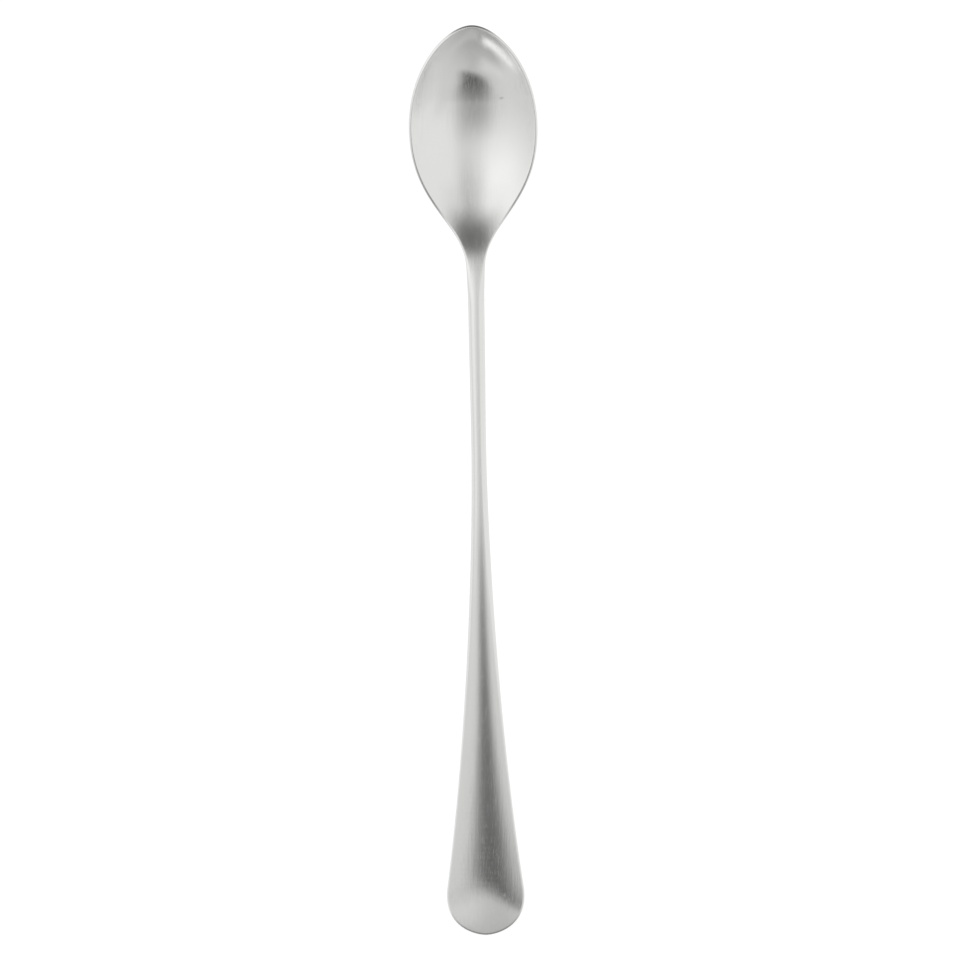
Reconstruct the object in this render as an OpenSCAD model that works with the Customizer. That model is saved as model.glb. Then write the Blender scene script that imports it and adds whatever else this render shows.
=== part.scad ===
// Iced tea spoon: a small deep bowl on a long slender stem that flares into a rounded handle.
// The tip of the bowl points along +Y, the open side of the bowl faces +Z, and the spoon rests on
// its bowl and on the end of its handle, both at Z = 0.
// Distances along the spoon are measured from the tip of the bowl.

/* [Overall] */
// Length from the tip of the bowl to the end of the handle
length = 200; // [190:1:215]
// Height of the top of the arched stem above the table
arch_h = 12.2; // [11:0.1:14]
// Distance from the tip to the top of the arch
arch_at = 113; // [106:1:120]
// Radius of the bend at the top of the arch, seen from the side
arch_r = 175; // [150:5:240]

/* [Bowl] */
// Width of the bowl at its widest place
bowl_w = 28.4; // [25:0.1:31]
// Distance from the tip to the widest place
widest_at = 22.6; // [20:0.1:25]
// Reach of the round tip to either side before it turns back
tip_round = 5.5; // [4.5:0.1:6.5]
// Depth of the hollow below the rim
bowl_depth = 5.6; // [5:0.1:6.2]
// Distance from the tip to the deepest place
deepest_at = 16.5; // [15:0.5:18]
// Distance from the tip to where the hollow runs out in the neck
hollow_end = 52.8; // [51:0.1:53]
// Thickness of the sheet that the bowl is pressed to
wall = 1.2; // [1:0.05:1.5]
// Width of the rounded lip at the very tip, seen from above
tip_lip_w = 0.75; // [0.6:0.05:0.9]
// Width of the rounded lip from the widest place on, seen from above
lip_w = 0.5; // [0.4:0.02:0.6]
// Fall of the rim from the tip towards the neck, in degrees
rim_fall = 3.7; // [2.5:0.1:4.5]
// Extra lift of the rim at the very tip
tip_lift = 0.1; // [0:0.1:0.5]

/* [Neck and stem] */
// Distance from the tip to the waist, where the rims have run together
neck_at = 53.3; // [53:0.1:56]
// Width at the waist
neck_w = 4.2; // [3.8:0.1:4.8]
// Length of the neck from the waist to the even stem
neck_l = 10.7; // [8:0.1:14]
// Width at the start of the even stem
shank_w = 3.6; // [3.2:0.1:4]
// Width of the stem where it is narrowest
stem_w = 3.3; // [3:0.1:3.6]
// Distance from the tip to the narrowest place
stem_at = 93.8; // [88:0.1:100]
// Distance from the tip to where the rims start to sweep up into the neck
sweep_at = 37.7; // [36:0.1:39]
// Distance from the tip to where the sweep is steepest
steep_at = 48.8; // [47.5:0.1:50]
// Slope of the sweep where it is steepest, in degrees
steep_pitch = 18.7; // [16:0.1:21]
// Height that the edge gains from the start of the sweep to its steepest place
steep_gain = 1.4; // [1.2:0.05:1.7]
// Distance from the tip to where the sweep settles into the rise of the stem
settle_at = 59.4; // [57:0.1:62]
// Height that the edge gains from the steepest place to there
settle_gain = 2; // [1.7:0.05:2.3]
// Slope of the edge where the sweep settles, in degrees
settle_pitch = 5.1; // [4:0.1:6]
// Thickness of the neck's side
neck_side = 2.3; // [2:0.1:2.6]
// Thickness of the stem's side
stem_side = 2.1; // [1.8:0.1:2.4]
// Width of the round at either edge of the neck and stem
stem_round = 1.2; // [1:0.05:1.4]
// Distance from the tip to where the bowl's lip starts to widen into that round
widen_at = 47.5; // [46:0.5:49]
// Rise of the crown on the front of the neck and stem, and of the belly on the back
stem_crown = 0.45; // [0.3:0.05:0.6]

/* [Handle] */
// Width of the handle where its end begins to round off
handle_w = 16.7; // [15:0.1:18]
// Length of the rounded end
end_l = 10.5; // [9:0.1:12]
// Width that the sides still gain over the last stretch before the end
end_gain = 5; // [4:0.1:6]
// Length of that last stretch
gain_l = 34.5; // [30:0.5:38]
// Length over which the stem starts to flare
flare_l = 20; // [15:1:26]
// Thickness of the handle's edge
edge_t = 1.15; // [1:0.05:1.4]
// Width of the round at the handle's edge
edge_round = 0.45; // [0.35:0.05:0.6]
// Rise of the crown on the front of the handle
crown = 1.4; // [1.1:0.05:1.6]
// Length over which the crown dies out at the end
fade_l = 13.5; // [12:0.5:15]
// Depth of the belly on the back of the handle
belly = 0.15; // [0.1:0.05:0.3]
// Fall of the handle at its end, in degrees
end_fall = 12.3; // [11:0.1:13.5]
// Radius of the handle's downward bend at its end, seen from the side
end_r = 400; // [300:10:600]

/* [Hidden] */
steel = "#c6c7c3";

// Heights of the rounds at the edges, as shares of the side's thickness
round_share = 0.46;
// Powers of the hollow: across the front, across the back, towards the tip and towards the neck
front_power = 2.2;
back_power = 2.6;
tip_power = 2.1;
heel_power = 2.8;
heel_soften = 3.1;
// Share of the hollow's depth over which its wall rolls over into the lip
roll_share = 0.02;
// Distance from the tip to where the sheet starts to thicken into the neck
thicken_at = 38;
// Length over which the stem's section turns into the handle's
turn_l = 75;

// Sides of a ring: segments across a face and round each edge
across = 16;
round_segs = 3;
ring_size = 2 * across + 4 * round_segs;

// Rings along each stretch of the outline, from knot to knot
steps = [11, 18, 5, 7, 24, 10];

fall = tan(rim_fall);
end_at = length - end_l;
neck_end = neck_at + neck_l;

// General curves
function mix(a, b, v) = a + (b - a) * v;
function unit(v) = min(max(v, 0), 1);
function ease(v) = let (u = unit(v)) pow(u, 3) * (10 - 15 * u + 6 * u * u);
function between(p, v) = [for (k = [0 : len(p) - 2]) mix(p[k], p[k + 1], v)];
function bezier(p, v) = len(p) == 1 ? p[0] : bezier(between(p, v), v);
function tangent(p, v) = len(p) == 2 ? p[1] - p[0] : tangent(between(p, v), v);
// Height between two places a run apart, each given as [height, slope, bend]
function swoop(a, b, run, v) =
    bezier([a[0], a[0] + a[1] * run / 5, a[0] + a[1] * run * 2 / 5 + a[2] * run * run / 20,
        b[0] - b[1] * run * 2 / 5 + b[2] * run * run / 20, b[0] - b[1] * run / 5, b[0]], v);

// Outline as [distance from the tip, half width], one curve from knot to knot. The handles of each
// curve are in named sizes, or in shares of the stretch that they shape.
tip_share = 0.62;
shoulder_share = 0.55;
waist_share = 0.34;
waist_slope = 0.08;
waist_l = (neck_at - widest_at) * waist_share;
third_share = 1 / 3;
end_slope = end_gain / gain_l;
end_shares = [0.84, 0.26];
curves = [
    [[0, 0], [0, tip_round], [widest_at * (1 - tip_share), bowl_w / 2], [widest_at, bowl_w / 2]],
    [[widest_at, bowl_w / 2], [mix(widest_at, neck_at, shoulder_share), bowl_w / 2],
        [neck_at - waist_l, neck_w / 2 + waist_slope * waist_l], [neck_at, neck_w / 2]],
    [[neck_at, neck_w / 2], [neck_at + neck_l * third_share, mix(neck_w, shank_w, 2 * third_share) / 2],
        [neck_end - neck_l * third_share, shank_w / 2], [neck_end, shank_w / 2]],
    [[neck_end, shank_w / 2], [mix(neck_end, stem_at, third_share), shank_w / 2],
        [mix(stem_at, neck_end, third_share), stem_w / 2], [stem_at, stem_w / 2]],
    [[stem_at, stem_w / 2], [stem_at + flare_l, stem_w / 2],
        [end_at - gain_l, handle_w / 2 - end_gain], [end_at, handle_w / 2]],
    [[end_at, handle_w / 2], [end_at + end_l * end_shares[0], handle_w / 2 + end_slope * end_l * end_shares[0]],
        [length, handle_w / 2 * end_shares[1]], [length, 0]]
];
last = len(curves);
function outline(t) = let (k = min(floor(t), last - 1)) bezier(curves[k], t - k);
function heading(t) = let (k = min(floor(t), last - 1)) tangent(curves[k], t - k);

// How far the inset from the edge leans along the spoon: square to the outline at both ends, and
// straight across from the waist to the flare, where the flat cuts are
function lean(t) = t < 1 ? 1 : t < 2 ? 1 - ease(t - 1) : t < 4 ? 0 : t < 5 ? ease(t - 4) : 1;
function inset(t) =
    let (h = heading(t), m = norm(h), k = lean(t))
    k == 1 ? [h[1], -h[0]] / m : [k * h[1] / m, -(1 - k) * m / h[0] - k * h[0] / m];

// Depth of the hollow along the middle
function hollow(s) =
    s < deepest_at
        ? bowl_depth * (1 - pow(unit((deepest_at - s) / (deepest_at - tip_lip_w)), tip_power))
        : bowl_depth * pow(1 - pow(unit((s - deepest_at) / (hollow_end - deepest_at)), heel_power), heel_soften);

// How much of the neck's thickness, of the stem's round and crown, and of the handle's section there
// is at a place
function necking(s) = ease((s - thicken_at) / (neck_at - thicken_at));
function widening(s) = ease((s - widen_at) / (neck_end - widen_at));
function turning(s) = ease((s - stem_at) / turn_l);
function ending(s) = 1 - pow(unit((s - length + fade_l) / (fade_l - edge_round)), 2);

// Width of the round at the edge, thickness of the side, and swell of the front and back
function round_w(s) =
    mix(mix(mix(tip_lip_w, lip_w, ease(s / widest_at)), stem_round, widening(s)), edge_round, turning(s));
function side(s) =
    s < neck_at ? mix(wall, neck_side, necking(s))
        : mix(mix(neck_side, stem_side, ease((s - neck_at) / neck_l)), edge_t, turning(s));
function swell(s, at_handle) = mix(stem_crown * widening(s), at_handle, turning(s)) * ending(s);

// Form across the spoon: a dome over the whole width, and a hollow whose wall rolls over into the lip
function dome(x, w) = w > 0 ? 1 - pow(x / w, 2) : 0;
function rolled(u) = let (q = 1 - pow(abs(u), front_power)) q * q * (1 + roll_share) / (q + roll_share);

// Height of the edge along the spoon. The rim is set so that the bowl's lowest place is at Z = 0.
rim_low = min([for (s = [0 : wall / 4 : neck_at]) -fall * (s - deepest_at) - hollow(s)]);
rim_h = wall - rim_low;
function rim(s) = rim_h - fall * (s - deepest_at) + tip_lift * pow(unit(1 - s / deepest_at), 2);
// Places along the edge, each as a distance from the tip and [height, slope, bend]
places = [sweep_at, steep_at, settle_at, arch_at, length];
levels = [
    [rim(sweep_at), -fall, 0],
    [rim(sweep_at) + steep_gain, tan(steep_pitch), 0],
    [rim(sweep_at) + steep_gain + settle_gain, tan(settle_pitch), 0],
    [arch_h, 0, -1 / arch_r],
    [edge_t, -tan(end_fall), -1 / end_r]
];
function run_on(s, k) =
    swoop(levels[k], levels[k + 1], places[k + 1] - places[k], (s - places[k]) / (places[k + 1] - places[k]));
function edge_h(s) =
    s < sweep_at ? rim(s)
        : s < steep_at ? run_on(s, 0)
        : s < settle_at ? run_on(s, 1)
        : s < arch_at ? run_on(s, 2)
        : run_on(s, 3);
// Heights of the front and the back, before the hollow, at a place [s, x] where the half width is w
function front_h(p, w) = edge_h(p[0]) + swell(p[0], crown) * dome(p[1], w);
function back_h(p, w) = edge_h(p[0]) - side(p[0]) - swell(p[0], belly) * dome(p[1], w);

// A point at a place [s, x] and a height
function point(p, z) = [p[1], length / 2 - p[0], z];

// One ring: across the front from left to right, round the right edge, across the back from right
// to left, and round the left edge
function ring(t) =
    let (o = outline(t), i = o + round_w(o[0]) * inset(t), h = side(i[0]) * round_share, deep = hollow(i[0]))
    concat(
        [for (k = [0 : across]) let (u = -cos(180 * k / across), p = [i[0], i[1] * u])
            point(p, front_h(p, o[1]) - deep * rolled(u))],
        [for (k = [1 : 2 * round_segs - 1]) edge_point(o, i, h, 90 * k / round_segs, 1)],
        [for (k = [0 : across]) let (u = cos(180 * k / across), p = [i[0], i[1] * u])
            point(p, back_h(p, o[1]) - deep * (1 - pow(abs(u), back_power)))],
        [for (k = [2 * round_segs - 1 : -1 : 1]) edge_point(o, i, h, 90 * k / round_segs, -1)]
    );
// A point round the edge, from 0 degrees at the front's border to 180 at the back's
function edge_point(o, i, h, angle, hand) =
    let (p = mix(i, o, sin(angle)))
    point([p[0], hand * p[1]],
        angle <= 90 ? front_h(p, o[1]) - h * (1 - cos(angle)) : back_h(p, o[1]) + h * (1 + cos(angle)));

// At the tip and at the end of the handle a ring closes up, so that its points are shared
function partner(j) = (across + ring_size - j) % ring_size;
function shared(j) = j <= across ? 0 : min(j, partner(j));

// Skin through the rings from knot a to knot b, with a flat cap at each cut
module skin(a, b) {
    ts = [for (k = [a : b - 1], n = [0 : steps[k] - 1]) k + n / steps[k], b];
    n = len(ts);
    points = [for (t = ts) each ring(t)];
    function index(i, j) =
        let (w = (j + ring_size) % ring_size, closed = ts[i] == 0 || ts[i] == last)
        i * ring_size + (closed ? shared(w) : w);
    quads = [for (i = [0 : n - 2], j = [0 : ring_size - 1])
        [index(i, j), index(i, j + 1), index(i + 1, j + 1), index(i + 1, j)]];
    faces = concat(
        [for (q = quads) each [[q[0], q[1], q[2]], [q[0], q[2], q[3]]]],
        a == 0 ? [] : [[for (j = [ring_size - 1 : -1 : 0]) index(0, j)]],
        b == last ? [] : [[for (j = [0 : ring_size - 1]) index(n - 1, j)]]
    );
    polyhedron(points, [for (f = faces) if (len(f) > 3 || (f[0] != f[1] && f[1] != f[2] && f[0] != f[2])) f]);
}

// Pressed bowl with its rounded lip
module bowl() {
    color(steel) skin(0, 2);
}

// Short thick stretch that the rims run into
module neck() {
    color(steel) skin(2, 3);
}

// Slender stem up to where the flare starts
module stem() {
    color(steel) skin(3, 4);
}

// Flared and crowned handle with its rounded end
module handle() {
    color(steel) skin(4, 6);
}

bowl();
neck();
stem();
handle();
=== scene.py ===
import math

import bpy
import numpy as np
from mathutils import Euler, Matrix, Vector


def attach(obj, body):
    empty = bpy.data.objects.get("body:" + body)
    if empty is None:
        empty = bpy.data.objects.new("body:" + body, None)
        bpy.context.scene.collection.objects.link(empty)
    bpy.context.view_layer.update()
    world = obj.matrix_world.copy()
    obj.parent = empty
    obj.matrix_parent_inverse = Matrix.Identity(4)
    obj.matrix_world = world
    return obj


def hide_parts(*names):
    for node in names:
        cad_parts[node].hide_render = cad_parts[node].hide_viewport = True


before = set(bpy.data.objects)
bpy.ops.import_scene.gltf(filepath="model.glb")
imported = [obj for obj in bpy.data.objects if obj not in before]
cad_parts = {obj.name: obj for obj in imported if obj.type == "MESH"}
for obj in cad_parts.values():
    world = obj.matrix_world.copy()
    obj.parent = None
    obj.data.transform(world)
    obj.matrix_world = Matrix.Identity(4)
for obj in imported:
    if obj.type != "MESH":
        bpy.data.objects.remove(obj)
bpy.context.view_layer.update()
print("frame loaded:", len(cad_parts), "regions of one forging")

mm = 0.001
micron = 0.001 * mm
pureWhite = (1, 1, 1, 1)


def newObject(name, data):
    thing = bpy.data.objects.new(name, data)
    bpy.context.scene.collection.objects.link(thing)
    return thing


def emptyTree(owner):
    # the node tree of a material or a world, with nothing in it
    owner.use_nodes = True
    owner.node_tree.nodes.clear()
    return owner.node_tree


def plug(tree, value, socket):
    # links an output, or a node's first output, and sets anything else as a value
    if isinstance(value, bpy.types.NodeSocket):
        tree.links.new(value, socket)
    elif isinstance(value, bpy.types.Node):
        tree.links.new(value.outputs[0], socket)
    else:
        socket.default_value = value


def addNode(tree, kind, inputs=None, **settings):
    node = tree.nodes.new(kind)
    for name, value in settings.items():
        setattr(node, name, value)
    for key, value in (inputs or {}).items():
        plug(tree, value, node.inputs[key])
    return node


def mixed(tree, share, low, high):
    inputs = {0: share, 2: low, 3: high}
    return addNode(tree, "ShaderNodeMix", inputs, data_type="FLOAT").outputs[0]


class Sums:
    # short words for the arithmetic in a tree
    def __init__(self, tree):
        self.tree = tree

    def of(self, operation, *values, clamp=False):
        inputs = dict(enumerate(values))
        node = addNode(self.tree, "ShaderNodeMath", inputs, operation=operation, use_clamp=clamp)
        return node.outputs[0]

    def plus(self, a, b):
        return self.of("ADD", a, b)

    def minus(self, a, b):
        return self.of("SUBTRACT", a, b)

    def times(self, a, b):
        return self.of("MULTIPLY", a, b)

    def over(self, a, b):
        return self.of("DIVIDE", a, b)

    def power(self, a, b):
        return self.of("POWER", a, b)


# lengths in millimetres, places in millimetres from the bowl's tip, pitches and falls in degrees
spoon = {
    "length": 200, "archHeight": 12.2, "archAt": 113, "archRadius": 175,
    "bowlWidth": 28.4, "widestAt": 22.6, "tipRound": 5.5,
    "bowlDepth": 5.6, "deepestAt": 16.5, "hollowEnd": 52.8,
    "wall": 1.2, "tipLip": 0.75, "lip": 0.5, "rimFall": 3.7, "tipLift": 0.1,
    "neckAt": 53.3, "neckWidth": 4.2, "neckLength": 10.7,
    "shankWidth": 3.6, "stemWidth": 3.3, "stemAt": 93.8,
    "sweepAt": 37.7, "steepAt": 48.8, "steepPitch": 18.7, "steepGain": 1.4,
    "settleAt": 59.4, "settleGain": 2, "settlePitch": 5.1,
    "neckSide": 2.3, "stemSide": 2.1, "stemRound": 1.2, "widenAt": 47.5, "stemCrown": 0.45,
    "handleWidth": 16.7, "endLength": 10.5, "endGain": 5, "gainLength": 34.5, "flareLength": 20,
    "edgeThickness": 1.15, "edgeRound": 0.45, "crown": 1.4, "belly": 0.15, "fadeLength": 13.5,
    "endFall": 12.3, "endRadius": 400,
    "roundShare": 0.46, "frontPower": 2.2, "backPower": 2.6, "rollShare": 0.02,
    "tipPower": 2.1, "heelPower": 2.8, "heelSoften": 3.1, "thickenAt": 38, "turnLength": 75,
    "tipShare": 0.62, "shoulderShare": 0.55, "waistShare": 0.34, "waistSlope": 0.08,
    "endShares": (0.84, 0.26),
    # how flat the edge is on top, at the tip, the heel and the stem: 2 is round, more is flatter.
    # The tip's turns into the heel's between two places
    "lipCrest": 2, "heelCrest": 5, "stemCrest": 2.1, "crestFrom": 22, "crestTo": 42,
    # lengths at both ends where the edge is left less polished and its colour is darkened as
    # painted shade, and where round the edge it is first so and fully so
    "shearedTip": 3.5, "shearedEnd": 7, "shearedFrom": 0.0, "shearedFull": 0.7,
    # steps along each curve of the outline, across each face, and round half of an edge, and the
    # distance under which points are one
    "stations": (84, 96, 24, 30, 96, 76), "acrossSegments": 60, "roundSegments": 8, "weld": 0.002,
}


def ease(v):
    u = np.clip(v, 0, 1)
    return u ** 3 * (10 - 15 * u + 6 * u * u)


def between(a, b, v):
    return a + (b - a) * v


def alongCurve(points, v):
    # place and heading on a Bezier curve, at each share v of it
    rows = [np.outer(np.ones(len(v)), p) for p in points]
    while len(rows) > 2:
        rows = [between(a, b, v[:, None]) for a, b in zip(rows, rows[1:])]
    return between(rows[0], rows[1], v[:, None]), rows[1] - rows[0]


def outlineStretches(s):
    # the right half of the outline: the bowl's two curves, neck, shank, handle, and its end
    bowlHalf, neckHalf, shankHalf = s["bowlWidth"] / 2, s["neckWidth"] / 2, s["shankWidth"] / 2
    stemHalf, handleHalf = s["stemWidth"] / 2, s["handleWidth"] / 2
    widestAt, neckAt, stemAt = s["widestAt"], s["neckAt"], s["stemAt"]
    neckEnd, endAt = neckAt + s["neckLength"], s["length"] - s["endLength"]
    neckThird = s["neckLength"] / 3
    shoulder = between(widestAt, neckAt, s["shoulderShare"])
    waist = (neckAt - widestAt) * s["waistShare"]
    endSlope = s["endGain"] / s["gainLength"]
    reach, turn = s["endShares"]
    endReach = s["endLength"] * reach
    return [
        [(0, 0), (0, s["tipRound"]), (widestAt * (1 - s["tipShare"]), bowlHalf),
         (widestAt, bowlHalf)],
        [(widestAt, bowlHalf), (shoulder, bowlHalf),
         (neckAt - waist, neckHalf + s["waistSlope"] * waist), (neckAt, neckHalf)],
        [(neckAt, neckHalf), (neckAt + neckThird, between(neckHalf, shankHalf, 2 / 3)),
         (neckEnd - neckThird, shankHalf), (neckEnd, shankHalf)],
        [(neckEnd, shankHalf), (between(neckEnd, stemAt, 1 / 3), shankHalf),
         (between(stemAt, neckEnd, 1 / 3), stemHalf), (stemAt, stemHalf)],
        [(stemAt, stemHalf), (stemAt + s["flareLength"], stemHalf),
         (endAt - s["gainLength"], handleHalf - s["endGain"]), (endAt, handleHalf)],
        [(endAt, handleHalf), (endAt + endReach, handleHalf + endSlope * endReach),
         (s["length"], handleHalf * turn), (s["length"], 0)],
    ]


def hollowDepth(s, at):
    deepestAt = s["deepestAt"]
    toTip = np.clip((deepestAt - at) / (deepestAt - s["tipLip"]), 0, 1)
    toHeel = np.clip((at - deepestAt) / (s["hollowEnd"] - deepestAt), 0, 1)
    tip = 1 - toTip ** s["tipPower"]
    heel = (1 - toHeel ** s["heelPower"]) ** s["heelSoften"]
    return s["bowlDepth"] * np.where(at < deepestAt, tip, heel)


def sideView(s):
    # height of the edge along the spoon, as a function of the distance from the tip
    def slope(degrees):
        return math.tan(math.radians(degrees))

    rimSlope = slope(s["rimFall"])
    step = s["wall"] / 4
    samples = np.arange(0, s["neckAt"], step)
    lowest = np.min(-rimSlope * (samples - s["deepestAt"]) - hollowDepth(s, samples))

    def rim(at):
        lift = s["tipLift"] * np.clip(1 - at / s["deepestAt"], 0, 1) ** 2
        return s["wall"] - lowest - rimSlope * (at - s["deepestAt"]) + lift

    # places along the edge, each with its height, slope and bend
    sweep = rim(s["sweepAt"])
    steep = sweep + s["steepGain"]
    places = [(s["sweepAt"], sweep, -rimSlope, 0),
              (s["steepAt"], steep, slope(s["steepPitch"]), 0),
              (s["settleAt"], steep + s["settleGain"], slope(s["settlePitch"]), 0),
              (s["archAt"], s["archHeight"], 0, -1 / s["archRadius"]),
              (s["length"], s["edgeThickness"], -slope(s["endFall"]), -1 / s["endRadius"])]

    def edge(at):
        heights = rim(at)
        for (start, *a), (end, *b) in zip(places, places[1:]):
            # a curve of six points keeps the height, slope and bend at both of its ends
            run = end - start
            rise, fall = a[1] * run / 5, b[1] * run / 5
            curve = [a[0], a[0] + rise, a[0] + 2 * rise + a[2] * run ** 2 / 20,
                     b[0] - 2 * fall + b[2] * run ** 2 / 20, b[0] - fall, b[0]]
            swoop = alongCurve([(height,) for height in curve], (at - start) / run)[0]
            heights = np.where(at < start, heights, swoop[:, 0])
        return heights
    return edge


def changesAt(s, at):
    # how far the section has turned: bowl to neck, rim to shank, and stem to handle
    neckEnd = s["neckAt"] + s["neckLength"]
    necking = ease((at - s["thickenAt"]) / (s["neckAt"] - s["thickenAt"]))
    widening = ease((at - s["widenAt"]) / (neckEnd - s["widenAt"]))
    turning = ease((at - s["stemAt"]) / s["turnLength"])
    return necking, widening, turning


def railsOf(s):
    # one row for each station along the spoon, in metres
    outer, heading, knot = [], [], []
    stretches = outlineStretches(s)
    for k, (points, count) in enumerate(zip(stretches, s["stations"])):
        isLast = k == len(stretches) - 1
        v = np.arange(count + isLast) / count
        place, way = alongCurve(points, v)
        outer.append(place)
        heading.append(way)
        knot.append(k + v)
    outer, heading, knot = np.concatenate(outer), np.concatenate(heading), np.concatenate(knot)
    zeros, ones = np.zeros(len(knot)), np.ones(len(knot))

    at = outer[:, 0]
    widening, turning = changesAt(s, at)[1:]
    lip = between(s["tipLip"], s["lip"], ease(at / s["widestAt"]))
    roundWidth = between(between(lip, s["stemRound"], widening), s["edgeRound"], turning)

    # the inset stands square to the outline at both ends, and straight across along the stem
    lean = np.select([knot < 1, knot < 2, knot < 4, knot < 5],
                     [ones, 1 - ease(knot - 1), zeros, ease(knot - 4)], 1)
    size = np.linalg.norm(heading, axis=1)
    forward = np.where(lean == 1, 1, heading[:, 0])
    square = -heading[:, 0] / size
    back = np.where(lean == 1, square, lean * square - (1 - lean) * size / forward)
    inner = outer + roundWidth[:, None] * np.stack([lean * heading[:, 1] / size, back], 1)

    at = inner[:, 0]
    necking, widening, turning = changesAt(s, at)
    beyondNeck = ease((at - s["neckAt"]) / s["neckLength"])
    fadeAt = s["length"] - s["fadeLength"]
    fading = np.clip((at - fadeAt) / (s["fadeLength"] - s["edgeRound"]), 0, 1)
    ending = 1 - fading ** 2
    stemSide = between(s["neckSide"], s["stemSide"], beyondNeck)
    side = np.where(at < s["neckAt"], between(s["wall"], s["neckSide"], necking),
                    between(stemSide, s["edgeThickness"], turning))
    swell = [between(s["stemCrown"] * widening, s[name], turning) * ending
             for name in ("crown", "belly")]
    flattening = ease((at - s["crestFrom"]) / (s["crestTo"] - s["crestFrom"]))
    crest = between(between(s["lipCrest"], s["heelCrest"], flattening), s["stemCrest"], beyondNeck)
    shearedAt = s["length"] - s["shearedEnd"]
    # the ends' edges are rougher as less polished steel, and their colour is also darkened there as
    # painted shade
    sheared = 1 - ease(at / s["shearedTip"]) + ease((at - shearedAt) / s["shearedEnd"])

    edge, half = sideView(s), s["length"] / 2
    rails = {name: np.stack([rail[:, 1], half - rail[:, 0], edge(rail[:, 0])], 1) * mm
             for name, rail in (("outer", outer), ("inner", inner))}
    rails["form"] = np.stack([side, hollowDepth(s, at), zeros], 1) * mm
    rails["swell"] = np.stack([*swell, zeros], 1) * mm
    return {**rails, "crest": crest, "sheared": sheared}


def sectionOf(s):
    # one row for each place round the section: across the front, round the right edge, back
    # across the underside, and up round the left edge
    flat = np.linspace(0, 180, s["acrossSegments"] + 1)
    bend = np.linspace(0, 180, 2 * s["roundSegments"] + 1)[1:-1]
    turns = [(math.sin(a), abs(math.cos(a)), a > math.pi / 2) for a in np.radians(bend)]
    rows = [(-math.cos(math.radians(a)), 0, 1, 0) for a in flat]
    rows += [(1, *turn) for turn in turns]
    rows += [(math.cos(math.radians(a)), 0, 1, 1) for a in flat]
    rows += [(-1, *turn) for turn in reversed(turns)]
    rows.append(rows[0])
    return dict(zip(("across", "sine", "cosine", "under"), np.array(rows, float).T))


def pointsWith(name, attributes):
    # a mesh of bare points that carries numbers into the tree
    count = len(next(iter(attributes.values())))
    mesh = bpy.data.meshes.new(name)
    mesh.from_pydata([(0, 0, 0)] * count, [], [])
    for key, values in attributes.items():
        kind, field = ("FLOAT_VECTOR", "vector") if values.ndim == 2 else ("FLOAT", "value")
        numbers = values.astype(np.float32).ravel()
        mesh.attributes.new(key, kind, "POINT").data.foreach_set(field, numbers)
    return newObject(name, mesh)


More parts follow.
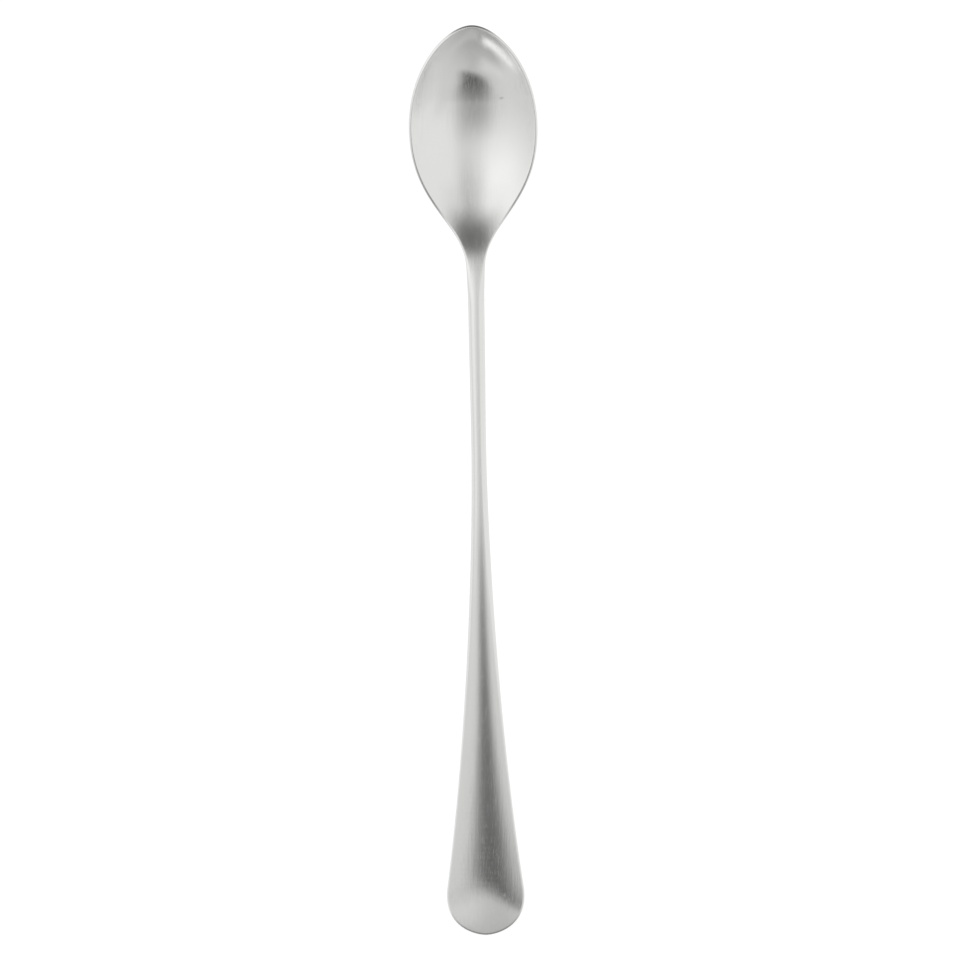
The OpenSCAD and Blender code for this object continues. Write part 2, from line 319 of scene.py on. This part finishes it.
def skinTree(s):
    # skins the stations and the section into one closed sheet
    tree = bpy.data.node_groups.new("forgedSkin", "GeometryNodeTree")
    tree.is_modifier = True
    kinds = {"Geometry": "Geometry", "Section": "Object", "Stations": "Int", "Ring": "Int",
             "Round Share": "Float", "Front Power": "Float", "Back Power": "Float",
             "Roll Share": "Float", "Steel": "Material"}
    for name, kind in kinds.items():
        tree.interface.new_socket(name, in_out="INPUT", socket_type="NodeSocket" + kind)
    tree.interface.new_socket("Geometry", in_out="OUTPUT", socket_type="NodeSocketGeometry")
    given = addNode(tree, "NodeGroupInput").outputs
    sums = Sums(tree)

    section = addNode(tree, "GeometryNodeObjectInfo", {"Object": given["Section"]})
    grid = addNode(tree, "GeometryNodeMeshGrid", {
        "Size X": 1.0, "Size Y": 1.0, "Vertices X": given["Ring"], "Vertices Y": given["Stations"]})
    index = addNode(tree, "GeometryNodeInputIndex").outputs[0]
    column = sums.of("FLOOR", sums.over(sums.plus(index, 0.5), given["Stations"]))
    station = sums.minus(index, sums.times(column, given["Stations"]))

    def sampled(source, name, kind, row):
        named = addNode(tree, "GeometryNodeInputNamedAttribute", {"Name": name}, data_type=kind)
        pick = addNode(tree, "GeometryNodeSampleIndex", {
            "Geometry": source, "Value": named.outputs["Attribute"], "Index": row}, data_type=kind)
        return pick.outputs[0]

    rail = {name: sampled(given["Geometry"], name, "FLOAT_VECTOR", station)
            for name in ("outer", "inner", "form", "swell")}
    rail.update({name: sampled(given["Geometry"], name, "FLOAT", station)
                 for name in ("crest", "sheared")})
    part = {name: sampled(section.outputs["Geometry"], name, "FLOAT", column)
            for name in ("across", "sine", "cosine", "under")}

    # how far out this place on the edge is, from 0 to 1, and how far it lies below the top, from
    # 0 to -1, or above the underside, from 0 to 1
    under = part["under"]
    bend = mixed(tree, under, sums.over(2.0, rail["crest"]), 1.0)
    outward = sums.power(part["sine"], bend)
    drop = sums.minus(sums.power(part["cosine"], bend), 1.0)
    lift = sums.times(drop, mixed(tree, under, 1.0, -1.0))

    path = addNode(tree, "ShaderNodeMix", {0: outward, 4: rail["inner"], 5: rail["outer"]},
                   data_type="VECTOR")
    place, form, swell, border = (
        addNode(tree, "ShaderNodeSeparateXYZ", {0: vector}).outputs
        for vector in (path.outputs[1], rail["form"], rail["swell"], rail["outer"]))
    side, depth, crown, belly = form["X"], form["Y"], swell["X"], swell["Y"]

    x = sums.times(part["across"], place["X"])
    dome = sums.minus(1.0, sums.power(sums.over(sums.of("ABSOLUTE", x), border["X"]), 2.0))
    reach = sums.of("ABSOLUTE", part["across"])
    left = sums.minus(1.0, sums.power(reach, given["Front Power"]))
    rolled = sums.over(sums.times(sums.times(left, left), sums.plus(1.0, given["Roll Share"])),
                       sums.plus(left, given["Roll Share"]))
    bulge = sums.minus(1.0, sums.power(reach, given["Back Power"]))
    front = sums.minus(sums.times(crown, dome), sums.times(depth, rolled))
    sag = sums.times(sums.times(belly, -1.0), dome)
    back = sums.minus(sums.minus(sag, side), sums.times(depth, bulge))
    edgeRound = sums.times(sums.times(side, given["Round Share"]), lift)
    z = sums.plus(sums.plus(place["Z"], mixed(tree, under, front, back)), edgeRound)
    position = addNode(tree, "ShaderNodeCombineXYZ", {"X": x, "Y": place["Y"], "Z": z})
    placed = addNode(tree, "GeometryNodeSetPosition", {
        "Geometry": grid.outputs["Mesh"], "Position": position})

    # the map runs across the spoon in x and along it in y, in metres, and turns over at the edges
    over = sums.times(sums.times(part["across"], -1.0), sums.minus(z, place["Z"]))
    flatMap = addNode(tree, "ShaderNodeCombineXYZ", {
        "X": sums.plus(x, over), "Y": place["Y"], "Z": 0.0})
    mapped = addNode(tree, "GeometryNodeStoreNamedAttribute", {
        "Geometry": placed, "Name": "grainMap", "Value": flatMap},
        data_type="FLOAT2", domain="CORNER")

    # marks the edges at both ends: rougher as less polished steel, and painted darker as shade in
    # the material
    cut = addNode(tree, "ShaderNodeMapRange", {
        "Value": sums.plus(part["sine"], under),
        "From Min": s["shearedFrom"], "From Max": s["shearedFull"]},
        interpolation_type="SMOOTHSTEP")
    marked = addNode(tree, "GeometryNodeStoreNamedAttribute", {
        "Geometry": mapped, "Name": "dullEdge", "Value": sums.times(cut, rail["sheared"])},
        data_type="FLOAT", domain="POINT")

    joined = addNode(tree, "GeometryNodeMergeByDistance", {
        "Geometry": marked, "Distance": s["weld"] * mm})
    smooth = addNode(tree, "GeometryNodeSetShadeSmooth", {"Geometry": joined})
    real = addNode(tree, "GeometryNodeRealizeInstances", {"Geometry": smooth})
    coated = addNode(tree, "GeometryNodeSetMaterial", {
        "Geometry": real, "Material": given["Steel"]})
    addNode(tree, "NodeGroupOutput", {"Geometry": coated})
    return tree


def makeSkin(s, material):
    rows = sectionOf(s)
    rails, section = pointsWith("spoonRails", railsOf(s)), pointsWith("spoonSection", rows)
    tree = skinTree(s)
    modifier = rails.modifiers.new("forgedSkin", "NODES")
    modifier.node_group = tree
    values = {"Section": section, "Stations": len(rails.data.vertices), "Ring": len(rows["under"]),
              "Round Share": s["roundShare"], "Front Power": s["frontPower"],
              "Back Power": s["backPower"], "Roll Share": s["rollShare"], "Steel": material}
    for item in tree.interface.items_tree:
        if item.in_out == "INPUT" and item.name in values:
            modifier[item.identifier] = values[item.name]
    bpy.context.view_layer.update()
    ready = rails.evaluated_get(bpy.context.evaluated_depsgraph_get())
    mesh = bpy.data.meshes.new_from_object(ready)
    mesh.name = "spoonSkin"
    for o in (rails, section):
        bpy.data.objects.remove(o)
    return newObject("spoonSkin", mesh)


steel = {
    "colour": (0.72, 0.7235, 0.708), "anisotropic": 0.5,
    "roughness": 0.13, "roughnessSpread": 0.05,
    # lines in the surface: width and length in metres, turn in degrees, where they start and are
    # full in the noise, height in microns, and what they add to the roughness
    "lines": [
        ("grain", 0.00012, 0.02, 0, 0, 1, 0.4, 0.05),
        ("hairlines", 0.0006, 0.01, 1.5, 0.42, 0.75, 5, 0.02),
        ("scratches", 0.00012, 0.005, 5, 0.58, 0.68, 4, 0.04),
        ("crossScratches", 0.00009, 0.0025, -38, 0.68, 0.78, 0.5, 0.06),
    ],
    "lineDetail": 3.0, "lineBreakup": 0.6, "lineDepth": 0.3,
    "smudgeScale": 90, "smudgeDetail": 2.0, "smudge": 0.035,
    # the ends' edges: the share of colour left there, a painted shade, and the roughness added as
    # less polished steel
    "edgeShadeTone": 0.3, "dullRoughness": 0.2,
    "speckAt": (0.0064, 0.0844), "speckSize": (0.0007, 0.0004), "speckTone": 0.7,
    # the shank of the spoon in the photo is twisted a little, and this part is straight, so only
    # the steel's normals turn: the angle in degrees, and where along y it begins and is full, in
    # metres
    "twist": 5.2, "twistFrom": 0.046, "twistTo": -0.067,
}


def linesGroup(s):
    # height of fine parallel lines, narrow across and long one way, from 0 to 1
    tree = bpy.data.node_groups.new("brushedLines", "ShaderNodeTree")
    tree.interface.new_socket("Place", in_out="INPUT", socket_type="NodeSocketVector")
    for name in ("Width", "Length", "Turn", "Start", "Full"):
        tree.interface.new_socket(name, in_out="INPUT", socket_type="NodeSocketFloat")
    tree.interface.new_socket("Height", in_out="OUTPUT", socket_type="NodeSocketFloat")
    given = addNode(tree, "NodeGroupInput").outputs
    sums = Sums(tree)
    turned = addNode(tree, "ShaderNodeVectorRotate", {
        "Vector": given["Place"], "Angle": given["Turn"]}, rotation_type="Z_AXIS")
    across = sums.over(1.0, given["Width"])
    scale = addNode(tree, "ShaderNodeCombineXYZ", {
        "X": across, "Y": sums.over(1.0, given["Length"]), "Z": sums.times(across, s["lineDepth"])})
    stretched = addNode(tree, "ShaderNodeVectorMath", {0: turned, 1: scale}, operation="MULTIPLY")
    noise = addNode(tree, "ShaderNodeTexNoise", {
        "Vector": stretched, "Scale": 1.0, "Detail": s["lineDetail"],
        "Roughness": s["lineBreakup"]})
    ramp = addNode(tree, "ShaderNodeMapRange", {
        "Value": noise.outputs["Fac"], "From Min": given["Start"], "From Max": given["Full"]})
    addNode(tree, "NodeGroupOutput", {"Height": ramp})
    return tree


def steelMaterial(s):
    material = bpy.data.materials.new("satinSteel")
    tree = emptyTree(material)
    sums = Sums(tree)
    coordinates = addNode(tree, "ShaderNodeTexCoord").outputs
    where = coordinates["Object"]
    place, facing = (addNode(tree, "ShaderNodeSeparateXYZ", {0: vector}).outputs
                     for vector in (where, coordinates["Normal"]))

    group = linesGroup(s)
    height, rough = 0.0, s["roughness"]
    for name, width, length, turn, start, full, microns, roughens in s["lines"]:
        lines = addNode(tree, "ShaderNodeGroup", {
            "Place": where, "Width": width, "Length": length, "Turn": math.radians(turn),
            "Start": float(start), "Full": float(full)}, node_tree=group, label=name)
        height = sums.plus(height, sums.times(lines, microns))
        rough = sums.plus(rough, sums.times(lines, roughens))

    smudges = addNode(tree, "ShaderNodeTexNoise", {
        "Vector": where, "Scale": float(s["smudgeScale"]), "Detail": s["smudgeDetail"]})
    smudge = sums.minus(smudges, 0.5)
    dullAndShade = addNode(tree, "ShaderNodeAttribute", attribute_name="dullEdge").outputs["Fac"]
    rough = sums.plus(rough, sums.times(smudge, s["roughnessSpread"]))
    rough = sums.plus(rough, sums.times(dullAndShade, s["dullRoughness"]))

    offsets = [sums.over(sums.minus(place[axis], at), size)
               for axis, at, size in zip("XY", s["speckAt"], s["speckSize"])]
    away = sums.of("SQRT", sums.plus(*(sums.times(offset, offset) for offset in offsets)))
    # the speck is in the hollow only, and not on the back
    inHollow = sums.of("GREATER_THAN", facing["Z"], 0.0)
    speck = sums.times(sums.of("SUBTRACT", 1.0, away, clamp=True), inHollow)
    tone = sums.plus(sums.times(smudge, s["smudge"]), 1.0)
    # the edges at the ends are darkened as painted shade; the speck is a pit mark in the steel
    for mask, left in ((dullAndShade, s["edgeShadeTone"]), (speck, s["speckTone"])):
        tone = sums.times(tone, sums.minus(1.0, sums.times(mask, 1 - left)))
    colour = addNode(tree, "ShaderNodeVectorMath", {0: s["colour"], "Scale": tone},
                     operation="SCALE")

    bump = addNode(tree, "ShaderNodeBump", {"Height": height, "Distance": micron, "Strength": 1.0})
    twist = addNode(tree, "ShaderNodeMapRange", {
        "Value": place["Y"], "From Min": s["twistFrom"], "From Max": s["twistTo"],
        "To Max": -math.radians(s["twist"])}, interpolation_type="SMOOTHERSTEP")
    twisted = addNode(tree, "ShaderNodeVectorRotate", {"Vector": bump, "Angle": twist},
                      rotation_type="Y_AXIS")
    along = addNode(tree, "ShaderNodeTangent", direction_type="UV_MAP", uv_map="grainMap")
    shader = addNode(tree, "ShaderNodeBsdfPrincipled", {
        "Base Color": colour, "Metallic": 1.0, "Roughness": rough,
        "Anisotropic": s["anisotropic"], "Normal": twisted, "Tangent": along})
    addNode(tree, "ShaderNodeOutputMaterial", {"Surface": shader})
    return material


skin = makeSkin(spoon, steelMaterial(steel))
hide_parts("bowl", "neck", "stem", "handle")
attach(skin, "root")
triangles = sum(len(face.vertices) - 2 for face in skin.data.polygons)
print("skin:", len(skin.data.vertices), "points,", triangles, "triangles")


studio = {
    "floorSize": 6.0, "floorWhite": 0.3, "floorGlow": 0.84,
    "general": 0.855,
    # each card: low and high side along the spoon, left and right side across it, each with the
    # width of its soft edge, then the slants of its sides, its level and its opacity. Angles are
    # in degrees from straight up, towards the tip of the bowl and towards +X, and a side at 200
    # or -200 is open
    "cards": [
        ("rightWhite", (-23.5, 60), (200, 10), (19.7, 17.9), (200, 10), (0, 0), 1.023, 1),
        ("leftWhite", (9.4, 53.9), (200, 10), (-62.9, 60), (-7, 30.9), (0, 0), 1.242, 1),
        ("nearGrey", (-200, 10), (-1.3, 8.7), (-47.9, 15.1), (55.6, 10.8), (0, 0), 0.822, 1),
        ("dusk", (-62.5, 7), (-50, 60), (-46.1, 27.6), (27.1, 60), (0, 0), 0.324, 0.9),
        ("lowDusk", (-200, 10), (-65.5, 16), (-42.5, 6), (37.3, 60), (0, 0), 0.513, 1),
        ("endWhite", (-47, 9), (-34, 6), (-50, 14), (-14, 10), (0, 0), 1.05, 0.45),
        ("endGrey", (-48, 8), (-34, 6), (-6, 12), (6, 8), (0, 0), 0.4, 0.25),
        ("crescent", (-68, 6), (-57, 5), (-64, 9), (-19, 6), (0.2, 0), 1.26, 1),
        ("rimShade", (-200, 10), (-55, 4), (-200, 10), (-10, 6), (0.58, 0), 0.5, 1),
        ("heelDark", (31.2, 39.1), (200, 10), (-2.2, 26.3), (12.3, 14.1), (0, 0), 0.457, 0.9),
        ("heelCore", (44.3, 24.9), (200, 10), (-25.2, 45.2), (29.2, 31.3), (0, 0), 0.14, 0.95),
        ("halo", (-29.6, 4.6), (3.2, 15.4), (-23.4, 32.8), (8.5, 19.4), (-0.08, -0.03),
         0.116, 0.51),
        ("overhead", (-32.2, 3.6), (4.4, 30.9), (-7.6, 47.2), (26, 25), (-0.18, 0.15), 0.1, 0.61),
        ("spot", (-28.5, 4), (-13, 23), (-25, 38), (15, 11), (-0.28, -0.1), 0.04, 0.6),
        ("endRight", (-42, 8), (-24, 6), (10, 8), (200, 10), (0.2, 0), 0.8, 0.25),
    ],
}
cardSides = ("Low", "High", "Left", "Right")


def cardGroup():
    # how much of a soft-edged card lies in a direction
    tree = bpy.data.node_groups.new("softCard", "ShaderNodeTree")
    softs = [side + " Soft" for side in cardSides]
    for name in ("Along", "Across", *cardSides, *softs, "Along Slant", "Across Slant", "Opacity"):
        tree.interface.new_socket(name, in_out="INPUT", socket_type="NodeSocketFloat")
    tree.interface.new_socket("Share", in_out="OUTPUT", socket_type="NodeSocketFloat")
    given = addNode(tree, "NodeGroupInput").outputs
    sums = Sums(tree)
    along = sums.minus(given["Along"], sums.times(given["Across"], given["Along Slant"]))
    across = sums.minus(given["Across"], sums.times(given["Along"], given["Across Slant"]))
    share = given["Opacity"]
    # the soft edge lies half inside the card's side and half outside it
    for side, value, inward in zip(cardSides, (along, along, across, across), (1, -1, 1, -1)):
        edge = sums.times(given[side + " Soft"], -inward / 2)
        ramp = addNode(tree, "ShaderNodeMapRange", {
            "Value": value, "From Min": sums.plus(given[side], edge),
            "From Max": sums.minus(given[side], edge)}, interpolation_type="SMOOTHSTEP")
        share = sums.times(share, ramp)
    addNode(tree, "NodeGroupOutput", {"Share": share})
    return tree


def lightStudio(s):
    world = bpy.data.worlds.new("studio")
    bpy.context.scene.world = world
    tree = emptyTree(world)
    sums = Sums(tree)
    ahead = addNode(tree, "ShaderNodeTexCoord").outputs["Generated"]
    way = addNode(tree, "ShaderNodeSeparateXYZ", {0: ahead}).outputs
    degrees = 180 / math.pi
    along = sums.times(sums.of("ARCTAN2", way["Y"], way["Z"]), degrees)
    across = sums.times(sums.of("ARCSINE", way["X"]), degrees)
    level = s["general"]
    group = cardGroup()
    for name, *sides, slants, strength, opacity in s["cards"]:
        values = {"Along": along, "Across": across, "Along Slant": float(slants[0]),
                  "Across Slant": float(slants[1]), "Opacity": float(opacity)}
        for side, (place, soft) in zip(cardSides, sides):
            values.update({side: float(place), side + " Soft": float(soft)})
        card = addNode(tree, "ShaderNodeGroup", values, node_tree=group, label=name)
        level = mixed(tree, card, level, strength)
    # the steel reflects the cards, and the camera sees plain white behind it
    seen = addNode(tree, "ShaderNodeLightPath").outputs
    plain = sums.of("MAXIMUM", seen["Is Camera Ray"], seen["Is Transmission Ray"])
    level = mixed(tree, plain, level, 1.0)
    glow = addNode(tree, "ShaderNodeBackground", {"Color": pureWhite, "Strength": level})
    addNode(tree, "ShaderNodeOutputWorld", {"Surface": glow})


def makeFloor(s):
    # a pale table that glows to the camera and in the steel, and still takes the spoon's shadow
    half = s["floorSize"] / 2
    corners = [(-half, -half, 0), (half, -half, 0), (half, half, 0), (-half, half, 0)]
    mesh = bpy.data.meshes.new("floor")
    mesh.from_pydata(corners, [], [(0, 1, 2, 3)])
    floor = newObject("floor", mesh)
    material = bpy.data.materials.new("paleTable")
    tree = emptyTree(material)
    sums = Sums(tree)
    seen = addNode(tree, "ShaderNodeLightPath").outputs
    shown = sums.of("MAXIMUM", seen["Is Glossy Ray"], seen["Is Transmission Ray"])
    shown = sums.of("MAXIMUM", seen["Is Camera Ray"], shown)
    white = s["floorWhite"]
    matt = addNode(tree, "ShaderNodeBsdfDiffuse", {"Color": (white, white, white, 1)})
    glow = addNode(tree, "ShaderNodeEmission", {
        "Color": pureWhite, "Strength": sums.times(shown, s["floorGlow"])})
    both = addNode(tree, "ShaderNodeAddShader", {0: matt, 1: glow})
    addNode(tree, "ShaderNodeOutputMaterial", {"Surface": both})
    mesh.materials.append(material)


view = {
    "distance": 1.3, "pixelsPerMetre": 4560, "pixels": 960, "sensor": 36,
    "aim": (0.0002, -0.00055, 0.007),
    "tilt": 4.4, "side": -0.7, "roll": -0.95,   # degrees towards the handle, sideways, and round
}


def placeCamera(v):
    data = bpy.data.cameras.new("camera")
    camera = newObject("camera", data)
    data.sensor_width = v["sensor"]
    data.lens = v["sensor"] * v["distance"] * v["pixelsPerMetre"] / v["pixels"]
    turn = Euler((math.radians(v["tilt"]), math.radians(v["side"]), 0)).to_matrix()
    roll = Euler((0, 0, math.radians(v["roll"]))).to_matrix()
    back = turn @ Vector((0, 0, 1))
    camera.location = Vector(v["aim"]) + back * v["distance"]
    camera.rotation_euler = (turn @ roll).to_euler()
    bpy.context.scene.camera = camera


lightStudio(studio)
makeFloor(studio)
placeCamera(view)
bpy.context.scene.view_settings.view_transform = "Standard"
print("studio: world cards, table and camera")
